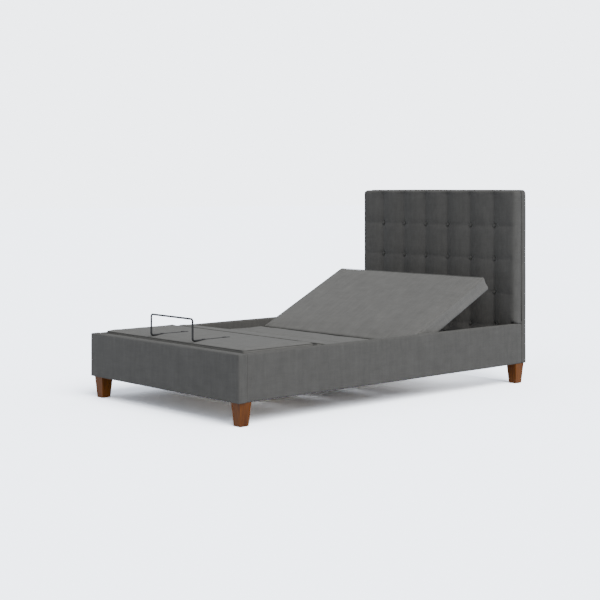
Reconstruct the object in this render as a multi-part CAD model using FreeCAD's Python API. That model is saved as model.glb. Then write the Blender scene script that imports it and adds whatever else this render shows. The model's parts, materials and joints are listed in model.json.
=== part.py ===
import FreeCAD, Part
import math
import os

# Adjustable bed base: upholstered surround and headboard around an articulated, motor-driven deck.
# Millimetres. Origin on the floor under the middle of the bed, +Z up, +Y to the head, +X to the right.
# Moving groups are drawn with the deck flat and then turned to the stored pose.

V = FreeCAD.Vector

# Surround and headboard
LENGTH = 2200.0
HALF_WIDTH = 639.0
HEIGHT = 1137.0
FOOT_Y = -LENGTH / 2
HEAD_Y = LENGTH / 2
RAIL_LOW = 117.0
RAIL_TOP = 352.0
FOOT_THICK = 53.0
RAIL_THICK = 29.0
RAIL_OUT = 632.0
RAIL_IN = RAIL_OUT - RAIL_THICK
FOOT_IN = FOOT_Y + FOOT_THICK
BOARD = 18.0
WRAP = 9.0
SLAB_THICK = 41.0
SLAB_HALF = 631.0
SLAB_FRONT = HEAD_Y - SLAB_THICK
PAD_THICK = 61.0
PAD_FRONT = SLAB_FRONT - PAD_THICK
PAD_LOW = 260.0
PAD_HALF = 629.0
PAD_NECK = 599.0
SEAM_X = 183.0
BUTTON_TOP = 924.0
BUTTON_STEP = 198.0
BUTTON_ROWS = 4
BUTTON_R = 10.0
BUTTON_H = 7.0
BUTTON_DEPTH = 22.0
DIMPLE_R = 26.0

# Legs and corner ironwork
LEG_TOP = 73.0
LEG_FOOT = 53.0
LEG_OUT_X = 627.0
LEG_INSET = 17.0
GLIDE_H = 2.5
GLIDE_R = 18.0
BOLT_INSET = 28.0
BOLT_R = 4.0
BOLT_HEAD_R = 7.5
BOLT_HEAD_H = 5.5
BRACKET = 92.0
BRACKET_T = 4.0
BRACKET_H = 85.0
SCREW_R = 3.0
SCREW_HEAD_R = 6.5

# Deck, flat: hinge lines, section lengths and height
DECK_HALF = 597.0
DECK_TOP = 308.0
DECK_THICK = 73.0
DECK_LOW = DECK_TOP - DECK_THICK
HEAD_HINGE_Y = 105.0
THIGH_HINGE_Y = -195.0
KNEE_Y = -557.0
CALF_END = -1030.0
HEAD_END = 852.0
FOLD_DROP = 12.0
FOLD_Z = DECK_TOP - FOLD_DROP
KNEE_Z = DECK_LOW - 6.0
GAP = 6.0
EDGE_R = 14.0
BOARD_INSET = 25.0
BOARD_END_GAP = 8.0
LIP_DEPTH = 12.0
LIP_COVER = 5.0
LIP_END = 10.0
LIP_INNER = 2.0
HEAD_REST = 26.5
THIGH_REST = 9.25

# Butt hinges
HINGE_X = (-480.0, -160.0, 160.0, 480.0)
HINGE_LONG = 70.0
KNUCKLE_R = 5.5
PIN_R = 3.0
RUN_FIT = 0.05
LEAF_T = 2.5
LEAF_LONG = 44.0
KNUCKLES = 5

# Lift shafts, arms and rollers
SHAFT_DY = 40.0
SHAFT_DZ = -88.0
SHAFT_R = 14.0
SHAFT_WALL = 2.5
SHAFT_HALF = 516.0
ARM_DY = 230.0
ARM_DZ = -12.0
ARM_X = 400.0
ARM_T = 8.0
ARM_HUB_R = 22.0
ARM_TIP_R = 13.0
ROLLER_X = 411.0
ROLLER_W = 18.0
ROLLER_R = 18.0
AXLE_R = 5.0
TRACK_GAP = 0.4
TRACK_HALF = 62.0
TRACK_LIP = 8.0
TRACK_FLANGE = 4.0
HEAD_MID = 30.0
THIGH_MID = 19.0
HEAD_SLIDE = 80.0
LEG_SLIDE = 77.0

# Linear motors
LEVER_R = 75.0
LEVER_END = 93.0
LEVER_HALF_W = 14.0
LEVER_IN = 13.0
LEVER_T = 6.0
SLOT_LOW = 69.0
SLOT_SIDE = 1.6
ROD_R = 10.0
ROD_PIN_R = 5.0
MOTOR_X = 110.0
MOTOR_TUBE_R = 15.0
TUBE_LONG = 200.0
GEARBOX_LONG = 80.0
GEARBOX_HALF_H = 30.0
CAN_R = 22.0
CAN_LONG = 105.0
CAN_OFFSET = 55.0
LUG_LONG = 30.0
LUG_HALF_W = 10.0
LUG_HALF_H = 11.0
LUG_PIN_DY = 18.0
LUG_PIN_R = 5.0
CHEEK_T = 6.0
CHEEK_PAST = 12.0
MOUTH_GAP = 75.0
LEG_MOUTH_GAP = 58.0

# Chassis
CROSS_Z = 150.0
CROSS = 30.0
CROSS_FOOT_Y = -310.0
CROSS_HEAD_Y = 240.0
CROSS_HALF = 601.0
SIDE = 25.0
SIDE_IN = 517.0
SIDE_Z = CROSS_Z + CROSS
SIDE_FOOT_END = -625.0
SIDE_HEAD_END = 270.0
WALL = 2.0
LEDGE_W = 28.0
LEDGE_H = 30.0
BEARING_T = 12.0
BEARING_HALF = 22.0
BEARING_DY = 26.0
SPACER_DY = 30.0
BUFFER_R = 12.0
BUFFER_GAP = 0.4

# Calf links
LINK_Y = -600.0
LINK_Z = 205.0
LINK_X = 494.0
LINK_T = 8.0
LINK_R = 11.0
LINK_PIN_R = 6.0
LINK_LUG_X = LINK_X + LINK_T + 1.5

# Mattress retainer bar
BAR_R = 5.0
BAR_HALF = 178.0
BAR_HIGH = 116.0
BAR_BEND = 13.0
BAR_LEG = 240.0
BAR_INSET = 12.0
CLIP_PLACES = (70.0, 205.0)
CLIP_HALF_Y = 9.0
CLIP_HALF_X = 18.0
CLIP_T = 2.0

# Control box and motor leads
BOX_X = (240.0, 360.0)
BOX_Y = (-120.0, 0.0)
BOX_LOW = 200.0
LEAD_R = 3.0
LEAD_Z = DECK_LOW - 4.5

HEAD_HINGE = (HEAD_HINGE_Y, FOLD_Z)
THIGH_HINGE = (THIGH_HINGE_Y, FOLD_Z)
KNEE = (KNEE_Y, KNEE_Z)
HEAD_SHAFT = (HEAD_HINGE_Y + SHAFT_DY, FOLD_Z + SHAFT_DZ)
LEG_SHAFT = (THIGH_HINGE_Y - SHAFT_DY, FOLD_Z + SHAFT_DZ)
MOTOR_Z = HEAD_SHAFT[1] - LEVER_R
LINK = (LINK_Y, LINK_Z)
KNEE_ARM = (KNEE[0] - THIGH_HINGE[0], KNEE[1] - THIGH_HINGE[1])
LINK_FAR = (LINK[0] + KNEE_ARM[0], LINK[1] + KNEE_ARM[1])


# ---- shapes -------------------------------------------------------------------------------------

def box(x0, x1, y0, y1, z0, z1):
    return Part.makeBox(x1 - x0, y1 - y0, z1 - z0, V(x0, y0, z0))


def rod_x(x0, x1, y, z, r):
    return Part.makeCylinder(r, x1 - x0, V(x0, y, z), V(1, 0, 0))


def rod_y(y0, y1, x, z, r):
    return Part.makeCylinder(r, y1 - y0, V(x, y0, z), V(0, 1, 0))


def rod_z(z0, z1, x, y, r):
    return Part.makeCylinder(r, z1 - z0, V(x, y, z0), V(0, 0, 1))


def rounded_box(x0, x1, y0, y1, z0, z1, radius, along="XYZ"):
    """A box with the edges that run along the named axes rounded."""
    solid = box(x0, x1, y0, y1, z0, z1)
    edges = []
    for edge in solid.Edges:
        direction = edge.Vertexes[1].Point - edge.Vertexes[0].Point
        for name, size in (("X", direction.x), ("Y", direction.y), ("Z", direction.z)):
            if abs(size) > 0.001 and name in along:
                edges.append(edge)
    return solid.makeFillet(radius, edges)


def flat_outline(points, x0, thick):
    """A plate: an outline of (y, z) points, drawn at x0 and made thick along +X."""
    corners = [V(x0, y, z) for y, z in points]
    face = Part.Face(Part.makePolygon(corners + corners[:1]))
    return face.extrude(V(thick, 0, 0))


def bar_between(a, b, ra, rb, x0, thick):
    """A tapered flat bar from circle a to circle b, both (y, z) centres."""
    dy = b[0] - a[0]
    dz = b[1] - a[1]
    span = math.hypot(dy, dz)
    ny = -dz / span
    nz = dy / span
    outline = [(a[0] + ny * ra, a[1] + nz * ra), (b[0] + ny * rb, b[1] + nz * rb),
               (b[0] - ny * rb, b[1] - nz * rb), (a[0] - ny * ra, a[1] - nz * ra)]
    plate = flat_outline(outline, x0, thick)
    plate = plate.fuse(rod_x(x0, x0 + thick, a[0], a[1], ra))
    plate = plate.fuse(rod_x(x0, x0 + thick, b[0], b[1], rb))
    return plate.removeSplitter()


def mirrored(solid):
    return solid.mirror(V(0, 0, 0), V(1, 0, 0))


def both_sides(solid):
    return [solid, mirrored(solid)]


def square_tube(x0, x1, y0, y1, z0, z1, along):
    """A square steel tube with open ends along X or Y."""
    outer = rounded_box(x0, x1, y0, y1, z0, z1, WALL * 1.5, along)
    if along == "X":
        inner = box(x0 - 1, x1 + 1, y0 + WALL, y1 - WALL, z0 + WALL, z1 - WALL)
    else:
        inner = box(x0 + WALL, x1 - WALL, y0 - 1, y1 + 1, z0 + WALL, z1 - WALL)
    return outer.cut(inner)


def turned(solid, pivot, degrees):
    """Turn about the X-wise line through pivot (y, z); positive lifts the head side."""
    copy = solid.copy()
    copy.rotate(V(0, pivot[0], pivot[1]), V(1, 0, 0), degrees)
    return copy


def swing(vector, degrees):
    """The same turn for a (y, z) vector."""
    angle = math.radians(degrees)
    y, z = vector
    return (y * math.cos(angle) - z * math.sin(angle), y * math.sin(angle) + z * math.cos(angle))


def save(name, solids):
    """One STEP file for a node: one solid, or a group of separate solids."""
    if not isinstance(solids, list):
        solids = [solids]
    flat = [piece for solid in solids for piece in solid.Solids]
    shape = flat[0] if len(flat) == 1 else Part.makeCompound(flat)
    if not shape.isValid():
        print("INVALID", name)
    shape.exportStep("parts/" + name + ".step")


# ---- surround -----------------------------------------------------------------------------------

def bracket_screw_places(corner_y, inward):
    """Screw centres on a corner bracket's two flanges: (x, y, z, axis)."""
    places = []
    for along in (38.0, 72.0):
        for z in (RAIL_LOW + 34.0, RAIL_LOW + 68.0):
            places.append((RAIL_IN, corner_y + inward * along, z, "X"))
            places.append((RAIL_IN - along, corner_y, z, "Y"))
    return places


def screw(place, inward):
    """A pan-head screw: its head inside the flange, its shank through the flange into the board."""
    x, y, z, axis = place
    depth = 14.0
    if axis == "X":
        inside = x - BRACKET_T
        head = Part.makeCylinder(SCREW_HEAD_R, 3.5, V(inside, y, z), V(-1, 0, 0))
        shank = Part.makeCylinder(SCREW_R, BRACKET_T + depth, V(inside, y, z), V(1, 0, 0))
    else:
        inside = y + inward * BRACKET_T
        head = Part.makeCylinder(SCREW_HEAD_R, 3.5, V(x, inside, z), V(0, inward, 0))
        shank = Part.makeCylinder(SCREW_R, BRACKET_T + depth, V(x, inside, z), V(0, -inward, 0))
    return head.fuse(shank)


CORNERS = ((FOOT_IN, 1), (SLAB_FRONT, -1))


def right_side_screws():
    return [screw(place, inward) for corner_y, inward in CORNERS
            for place in bracket_screw_places(corner_y, inward)]


def drilled(solid, tools):
    for tool in tools:
        solid = solid.cut(tool)
    return solid


def corner_bracket(corner_y, inward):
    """A pressed angle: a floor plate over the leg and a flange on each panel."""
    reach = corner_y + inward * BRACKET
    floor_plate = Part.Face(Part.makePolygon([
        V(RAIL_IN, corner_y, RAIL_LOW), V(RAIL_IN - BRACKET, corner_y, RAIL_LOW),
        V(RAIL_IN, reach, RAIL_LOW), V(RAIL_IN, corner_y, RAIL_LOW)])).extrude(V(0, 0, BRACKET_T))
    low, high = sorted((corner_y, reach))
    on_rail = box(RAIL_IN - BRACKET_T, RAIL_IN, low, high, RAIL_LOW, RAIL_LOW + BRACKET_H)
    near, far = sorted((corner_y, corner_y + inward * BRACKET_T))
    on_end = box(RAIL_IN - BRACKET, RAIL_IN, near, far, RAIL_LOW, RAIL_LOW + BRACKET_H)
    bracket = floor_plate.fuse(on_rail).fuse(on_end).removeSplitter()
    return bracket


def leg_centre(end):
    """Plan centre (x, y) of the right-hand leg at the foot (-1) or head (+1) end."""
    return (LEG_OUT_X - LEG_TOP / 2, end * (HEAD_Y - LEG_INSET - LEG_TOP / 2))


def leg_bolt_place(end):
    corner_y = FOOT_IN if end < 0 else SLAB_FRONT
    return (RAIL_IN - BOLT_INSET, corner_y - end * BOLT_INSET * 0.72)


def leg(end):
    x, y = leg_centre(end)
    wires = []
    for half, z in ((LEG_FOOT / 2, GLIDE_H), (LEG_TOP / 2, RAIL_LOW)):
        points = [V(x - half, y - half, z), V(x + half, y - half, z), V(x + half, y + half, z),
                  V(x - half, y + half, z), V(x - half, y - half, z)]
        wires.append(Part.makePolygon(points))
    body = Part.makeLoft(wires, True)
    long_edges = [edge for edge in body.Edges
                  if abs(edge.Vertexes[0].Z - edge.Vertexes[1].Z) > 1]
    body = body.makeFillet(3.0, long_edges)
    bx, by = leg_bolt_place(end)
    return body.cut(rod_z(RAIL_LOW - 45, RAIL_LOW + 1, bx, by, BOLT_R))


def leg_bolt(end):
    bx, by = leg_bolt_place(end)
    top = RAIL_LOW + BRACKET_T
    shank = rod_z(RAIL_LOW - 44, top, bx, by, BOLT_R)
    corners = [math.radians(60 * k) for k in range(7)]
    outline = [V(bx + BOLT_HEAD_R * math.cos(a), by + BOLT_HEAD_R * math.sin(a), top) for a in corners]
    head = Part.Face(Part.makePolygon(outline)).extrude(V(0, 0, BOLT_HEAD_H))
    return shank.fuse(head)


def glide(end):
    x, y = leg_centre(end)
    disc = rod_z(0, GLIDE_H, x, y, GLIDE_R)
    rim = [edge for edge in disc.Edges if edge.BoundBox.ZMax < 0.1 and edge.Length > 50]
    return disc.makeFillet(1.0, rim)


def make_surround():
    screws = right_side_screws()
    all_screws = screws + [mirrored(s) for s in screws]

    rail = rounded_box(RAIL_IN, RAIL_OUT, FOOT_IN, SLAB_FRONT, RAIL_LOW, RAIL_TOP, 6.0, "Y")
    pocket = box(RAIL_IN, RAIL_IN + BOARD, FOOT_IN, SLAB_FRONT, RAIL_LOW + WRAP, RAIL_TOP - WRAP)
    rail_board = drilled(pocket, screws)
    right_rail = rail.cut(pocket)
    save("side_rail_right", right_rail)
    save("side_rail_left", mirrored(right_rail))

    foot = rounded_box(-HALF_WIDTH, HALF_WIDTH, FOOT_Y, FOOT_IN, RAIL_LOW, RAIL_TOP, 9.0, "XZ")
    foot_pocket = box(-RAIL_OUT + WRAP, RAIL_OUT - WRAP, FOOT_IN - BOARD, FOOT_IN,
                      RAIL_LOW + WRAP, RAIL_TOP - WRAP)
    save("foot_panel", foot.cut(foot_pocket))
    foot_board = drilled(foot_pocket, all_screws)
    save("panel_boards", both_sides(rail_board) + [foot_board])

    slab = rounded_box(-SLAB_HALF, SLAB_HALF, SLAB_FRONT, HEAD_Y, RAIL_LOW, HEIGHT, 6.0, "XYZ")
    save("headboard_frame", drilled(slab, all_screws))
    save("headboard_pad", headboard_pad())
    save("headboard_buttons", headboard_buttons())

    brackets = [corner_bracket(y, inward) for y, inward in CORNERS]
    bolts = [leg_bolt(-1), leg_bolt(1)]
    brackets = [drilled(bracket, screws + bolts) for bracket in brackets]
    save("corner_brackets", brackets + [mirrored(b) for b in brackets])
    save("corner_screws", all_screws)
    save("leg_bolts", bolts + [mirrored(b) for b in bolts])
    for end, end_name in ((-1, "foot"), (1, "head")):
        save("leg_" + end_name + "_right", leg(end))
        save("leg_" + end_name + "_left", mirrored(leg(end)))
    glides = [glide(-1), glide(1)]
    save("leg_glides", glides + [mirrored(g) for g in glides])

    ledge = rounded_box(RAIL_IN - LEDGE_W, RAIL_IN, FOOT_IN + BRACKET + 4, SLAB_FRONT - BRACKET - 4,
                        CROSS_Z - LEDGE_H, CROSS_Z, 2.0, "Y")
    save("rail_ledges", both_sides(ledge))


def button_places():
    """Button centres (x, z) where the upright seams cross the rows."""
    return [((column - 2.5) * SEAM_X, BUTTON_TOP - row * BUTTON_STEP)
            for column in range(6) for row in range(BUTTON_ROWS)]


def headboard_pad():
    """The quilted front: full width above the rails, a narrower apron between them."""
    upper = rounded_box(-PAD_HALF, PAD_HALF, PAD_FRONT, SLAB_FRONT, RAIL_TOP + 1, HEIGHT - 3, 8.0, "XZ")
    apron = box(-PAD_NECK, PAD_NECK, PAD_FRONT, SLAB_FRONT, PAD_LOW, RAIL_TOP + 12)
    pad = upper.fuse(apron).removeSplitter()
    for x, z in button_places():
        pad = pad.cut(Part.makeCone(DIMPLE_R, BUTTON_R, BUTTON_DEPTH, V(x, PAD_FRONT, z), V(0, 1, 0)))
    return pad


def headboard_buttons():
    buttons = []
    for x, z in button_places():
        back = PAD_FRONT + BUTTON_DEPTH
        disc = Part.makeCylinder(BUTTON_R - 0.5, BUTTON_H, V(x, back, z), V(0, -1, 0))
        rim = [edge for edge in disc.Edges if edge.BoundBox.YMax < back - BUTTON_H + 1]
        buttons.append(disc.makeFillet(3.0, rim))
    return buttons


# ---- deck ---------------------------------------------------------------------------------------

def deck_section(y0, y1, free_end=None):
    """Upholstered section, and the board in its underside with battens that stiffen its outer edges."""
    pad = box(-DECK_HALF, DECK_HALF, y0, y1, DECK_LOW, DECK_TOP)
    rounded = []
    for edge in pad.Edges:
        bounds = edge.BoundBox
        if bounds.ZMin > DECK_TOP - 1 and bounds.XLength > 1:
            rounded.append(edge)
    pad = pad.makeFillet(EDGE_R, rounded)
    board = box(-DECK_HALF + BOARD_INSET, DECK_HALF - BOARD_INSET, y0 + BOARD_END_GAP, y1 - BOARD_END_GAP,
                DECK_LOW, DECK_LOW + BOARD)
    inner = DECK_HALF - BOARD_INSET + LIP_INNER
    outer = DECK_HALF - LIP_COVER
    low = DECK_LOW - LIP_DEPTH + LIP_COVER
    wood = [board] + both_sides(box(inner, outer, y0 + LIP_END, y1 - LIP_END, low, DECK_LOW))
    if free_end is not None:
        inward = 1 if free_end == y0 else -1
        near, far = sorted((free_end + inward * LIP_COVER, free_end + inward * (BOARD_INSET - LIP_INNER)))
        wood.append(box(-inner, inner, near, far, low, DECK_LOW))
    return pad.cut(board), wood


def knuckle_spans(x, which):
    """X spans of the knuckles of one leaf: 0 has the outer and middle ones, 1 the two between."""
    step = HINGE_LONG / KNUCKLES
    start = x - HINGE_LONG / 2
    return [(start + k * step + 0.15, start + (k + 1) * step - 0.15)
            for k in range(KNUCKLES) if k % 2 == which]


def end_leaf(x, hinge, side, which):
    """A hinge leaf on a section's end face, side -1 towards the foot and +1 towards the head."""
    y, z = hinge
    outer, inner = y + side * GAP, y + side * (GAP - LEAF_T)
    low, high = sorted((outer, inner))
    leaf = box(x - HINGE_LONG / 2, x + HINGE_LONG / 2, low, high, z - 7 - LEAF_LONG, z - 7)
    for x0, x1 in knuckle_spans(x, which):
        leaf = leaf.fuse(box(x0, x1, low, high, z - 8, z))
        leaf = leaf.fuse(rod_x(x0, x1, y, z, KNUCKLE_R))
    return leaf.removeSplitter().cut(rod_x(x - 50, x + 50, y, z, PIN_R + RUN_FIT))


def under_leaf(x, hinge, side, which):
    """A hinge leaf lying under a section, for the knee, whose axis is below the boards."""
    y, z = hinge
    near, far = sorted((y + side * 7, y + side * (7 + LEAF_LONG)))
    top = z + 6.0
    leaf = box(x - HINGE_LONG / 2, x + HINGE_LONG / 2, near, far, top - LEAF_T, top)
    for x0, x1 in knuckle_spans(x, which):
        low, high = sorted((y, y + side * 8))
        leaf = leaf.fuse(box(x0, x1, low, high, top - LEAF_T, top - 0.5))
        leaf = leaf.fuse(rod_x(x0, x1, y, z, KNUCKLE_R))
    return leaf.removeSplitter().cut(rod_x(x - 50, x + 50, y, z, PIN_R + RUN_FIT))


def hinge_pins(hinge):
    """Pins with a small head at each end, clear of the outer knuckles."""
    pins = []
    for x in HINGE_X:
        half = HINGE_LONG / 2
        pin = rod_x(x - half - 0.5, x + half + 0.5, hinge[0], hinge[1], PIN_R)
        for x0 in (x - half - 2.0, x + half + 0.3):
            pin = pin.fuse(rod_x(x0, x0 + 1.7, hinge[0], hinge[1], PIN_R + 1.6))
        pins.append(pin)
    return pins


# ---- lift gear ----------------------------------------------------------------------------------

def lever_plate(shaft, x0, along, mid, flat):
    """A slotted lever: it points straight down when its section stands at mid degrees."""
    hang = swing((0, -1), along * (flat - mid))
    end = (shaft[0] + hang[0] * LEVER_END, shaft[1] + hang[1] * LEVER_END)
    plate = bar_between(shaft, end, ARM_HUB_R, LEVER_HALF_W, x0, LEVER_T)
    half = ROD_PIN_R + SLOT_SIDE
    top = (shaft[0] + hang[0] * (SLOT_LOW + half), shaft[1] + hang[1] * (SLOT_LOW + half))
    foot = (shaft[0] + hang[0] * (LEVER_END - half + 2), shaft[1] + hang[1] * (LEVER_END - half + 2))
    slot = bar_between(top, foot, half, half, x0 - 1, LEVER_T + 2)
    return plate.cut(slot)


def lift_gear(shaft, along, mid, motor_x):
    """Shaft tube, arms and levers, axles and rollers of one lift, with the deck flat."""
    tip = (shaft[0] + along * ARM_DY, shaft[1] + ARM_DZ)
    tube = rod_x(-SHAFT_HALF, SHAFT_HALF, shaft[0], shaft[1], SHAFT_R)
    bore = rod_x(-SHAFT_HALF - 1, SHAFT_HALF + 1, shaft[0], shaft[1], SHAFT_R - SHAFT_WALL)
    hole = rod_x(-SHAFT_HALF, SHAFT_HALF, shaft[0], shaft[1], SHAFT_R)
    arm = bar_between(shaft, tip, ARM_HUB_R, ARM_TIP_R, ARM_X, ARM_T).cut(hole)
    arm = arm.cut(rod_x(ARM_X - 1, ARM_X + ARM_T + 1, tip[0], tip[1], AXLE_R))
    levers = []
    for x0 in (motor_x - LEVER_IN - LEVER_T, motor_x + LEVER_IN):
        levers.append(lever_plate(shaft, x0, along, mid, 0.0).cut(hole))
    axle = rod_x(ARM_X, ROLLER_X + ROLLER_W + 2, tip[0], tip[1], AXLE_R)
    axle = axle.fuse(rod_x(ROLLER_X + ROLLER_W + 0.5, ROLLER_X + ROLLER_W + 3.5, tip[0], tip[1], 8.0))
    roller = rod_x(ROLLER_X, ROLLER_X + ROLLER_W, tip[0], tip[1], ROLLER_R)
    roller = roller.cut(rod_x(ROLLER_X - 1, ROLLER_X + ROLLER_W + 1, tip[0], tip[1], AXLE_R + RUN_FIT))
    return {"tube": tube.cut(bore), "arms": both_sides(arm), "levers": levers,
            "axles": both_sides(axle), "rollers": both_sides(roller)}


def lift_tracks(hinge, along):
    """Curved tracks under a section. The roller's centre runs on an arc about the track's centre."""
    centre = (hinge[0] + along * ARM_DY, hinge[1] + ARM_DZ)
    path = math.hypot(SHAFT_DY, SHAFT_DZ)
    disc = rod_x(ROLLER_X, ROLLER_X + ROLLER_W, centre[0], centre[1], path - ROLLER_R - TRACK_GAP)
    under = DECK_LOW - TRACK_FLANGE
    near = centre[0] - TRACK_HALF
    far = centre[0] + TRACK_HALF
    track = disc.common(box(ROLLER_X, ROLLER_X + ROLLER_W, near, far, 0, under))
    flange = box(ROLLER_X - TRACK_LIP, ROLLER_X + ROLLER_W + TRACK_LIP, near, far, under, DECK_LOW)
    return both_sides(track.fuse(flange).removeSplitter())


def motor(shaft, away, motor_x, mouth_gap):
    """Motor housing lying on the away side (-1 foot, +1 head) of the shaft that it turns."""
    mouth = shaft[0] + away * mouth_gap
    tube_end = mouth + away * TUBE_LONG
    back = tube_end + away * GEARBOX_LONG
    outward = 1 if motor_x > 0 else -1
    low, high = sorted((mouth, tube_end))
    guide = rod_y(low, high, motor_x, MOTOR_Z, MOTOR_TUBE_R)
    guide = guide.cut(rod_y(low - 1, high + 1, motor_x, MOTOR_Z, ROD_R + RUN_FIT))
    near, far = sorted((tube_end, back))
    left, right = sorted((motor_x - outward * 30, motor_x + outward * (CAN_OFFSET + 25)))
    gearbox = rounded_box(left, right, near, far, MOTOR_Z - GEARBOX_HALF_H, MOTOR_Z + GEARBOX_HALF_H, 8.0)
    low, high = sorted((tube_end, tube_end - away * CAN_LONG))
    can = rod_y(low, high, motor_x + outward * CAN_OFFSET, MOTOR_Z, CAN_R)
    near, far = sorted((back, back + away * LUG_LONG))
    lug = box(motor_x - LUG_HALF_W, motor_x + LUG_HALF_W, near, far,
              MOTOR_Z - LUG_HALF_H, MOTOR_Z + LUG_HALF_H)
    pin_y = back + away * LUG_PIN_DY
    lug = lug.cut(rod_x(motor_x - LUG_HALF_W - 1, motor_x + LUG_HALF_W + 1, pin_y, MOTOR_Z, LUG_PIN_R))
    return [gearbox.fuse(lug).removeSplitter(), guide, can], pin_y


def motor_rod(shaft, away, motor_x, stroke_back):
    """Chromed rod and its cross pin, with the section flat."""
    pin_y = shaft[0] + away * stroke_back
    low, high = sorted((pin_y - away * 12, pin_y + away * 150))
    rod = rod_y(low, high, motor_x, MOTOR_Z, ROD_R)
    rod = rod.cut(rod_x(motor_x - 12, motor_x + 12, pin_y, MOTOR_Z, ROD_PIN_R))
    half = LEVER_IN + LEVER_T + 2
    return rod, rod_x(motor_x - half, motor_x + half, pin_y, MOTOR_Z, ROD_PIN_R)


def motor_bracket(pin_y, cross_y, motor_x):
    """Two cheeks from under a cross tube to the lug at the motor's back."""
    away = 1 if cross_y > pin_y else -1
    near, far = sorted((pin_y - away * CHEEK_PAST, cross_y + away * CHEEK_PAST))
    gap = LUG_HALF_W + 1
    cheeks = []
    for x0 in (motor_x - gap - CHEEK_T, motor_x + gap):
        cheek = box(x0, x0 + CHEEK_T, near, far, MOTOR_Z - CHEEK_PAST, CROSS_Z)
        cheeks.append(cheek.cut(rod_x(x0 - 1, x0 + CHEEK_T + 1, pin_y, MOTOR_Z, LUG_PIN_R)))
    return cheeks


# ---- cable --------------------------------------------------------------------------------------

def lead(points, name):
    """A round cable along straight runs joined by tangent arcs."""
    points = [V(*p) for p in points]
    edges = []
    radii = []
    start = points[0]
    for before, here, after in zip(points, points[1:], points[2:]):
        run_in = here - before
        run_out = after - here
        turn = run_in.getAngle(run_out)
        cut = 0.45 * min(run_in.Length, run_out.Length)
        radius = cut / math.tan(turn / 2)
        radii.append(round(radius))
        unit_in = V(run_in).normalize()
        unit_out = V(run_out).normalize()
        first = here - unit_in * cut
        last = here + unit_out * cut
        bisector = (unit_out - unit_in).normalize()
        centre = here + bisector * (radius / math.cos(turn / 2))
        middle = centre - bisector * radius
        edges.append(Part.makeLine(start, first))
        edges.append(Part.Arc(first, middle, last).toShape())
        start = last
    edges.append(Part.makeLine(start, points[-1]))
    path = Part.Wire(edges)
    direction = points[1] - points[0]
    section = Part.Wire(Part.makeCircle(LEAD_R, points[0], direction))
    cable = path.makePipeShell([section], True, False)
    expected = math.pi * LEAD_R ** 2 * path.Length
    print(name, "length", round(path.Length), "radii", radii, "volume", round(cable.Volume / expected, 3))
    return cable


# ---- retainer bar -------------------------------------------------------------------------------

def bent_rod(points, bend):
    """A rod along straight runs with the same bend radius at each corner."""
    points = [V(*p) for p in points]
    edges = []
    start = points[0]
    for before, here, after in zip(points, points[1:], points[2:]):
        unit_in = (here - before).normalize()
        unit_out = (after - here).normalize()
        turn = unit_in.getAngle(unit_out)
        cut = bend * math.tan(turn / 2)
        first = here - unit_in * cut
        last = here + unit_out * cut
        bisector = (unit_out - unit_in).normalize()
        middle = here + bisector * (bend / math.cos(turn / 2) - bend)
        edges.append(Part.makeLine(start, first))
        edges.append(Part.Arc(first, middle, last).toShape())
        start = last
    edges.append(Part.makeLine(start, points[-1]))
    section = Part.Wire(Part.makeCircle(BAR_R, points[0], points[1] - points[0]))
    return Part.Wire(edges).makePipeShell([section], True, False)


def retainer_bar():
    y = CALF_END + BAR_INSET
    low = DECK_TOP + BAR_R
    high = DECK_TOP + BAR_HIGH
    points = [(-BAR_HALF, y + BAR_LEG, low), (-BAR_HALF, y, low), (-BAR_HALF, y, high),
              (BAR_HALF, y, high), (BAR_HALF, y, low), (BAR_HALF, y + BAR_LEG, low)]
    return bent_rod(points, BAR_BEND)


def retainer_clips():
    """Saddle clips over the bar's lower legs, two on each side."""
    clips = []
    for x in (-BAR_HALF, BAR_HALF):
        for along in CLIP_PLACES:
            near = CALF_END + BAR_INSET + along - CLIP_HALF_Y
            far = near + 2 * CLIP_HALF_Y
            axis = DECK_TOP + BAR_R
            clip = rod_y(near, far, x, axis, BAR_R + CLIP_T)
            clip = clip.common(box(x - CLIP_HALF_X, x + CLIP_HALF_X, near, far, DECK_TOP, axis + 2 * BAR_R))
            clip = clip.fuse(box(x - CLIP_HALF_X, x + CLIP_HALF_X, near, far, DECK_TOP, DECK_TOP + CLIP_T))
            clip = clip.cut(rod_y(near - 1, far + 1, x, axis, BAR_R))
            clip = clip.cut(box(x - BAR_R, x + BAR_R, near - 1, far + 1, DECK_TOP - 1, axis))
            clips += clip.Solids
    return clips


# ---- assembly -----------------------------------------------------------------------------------

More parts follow.
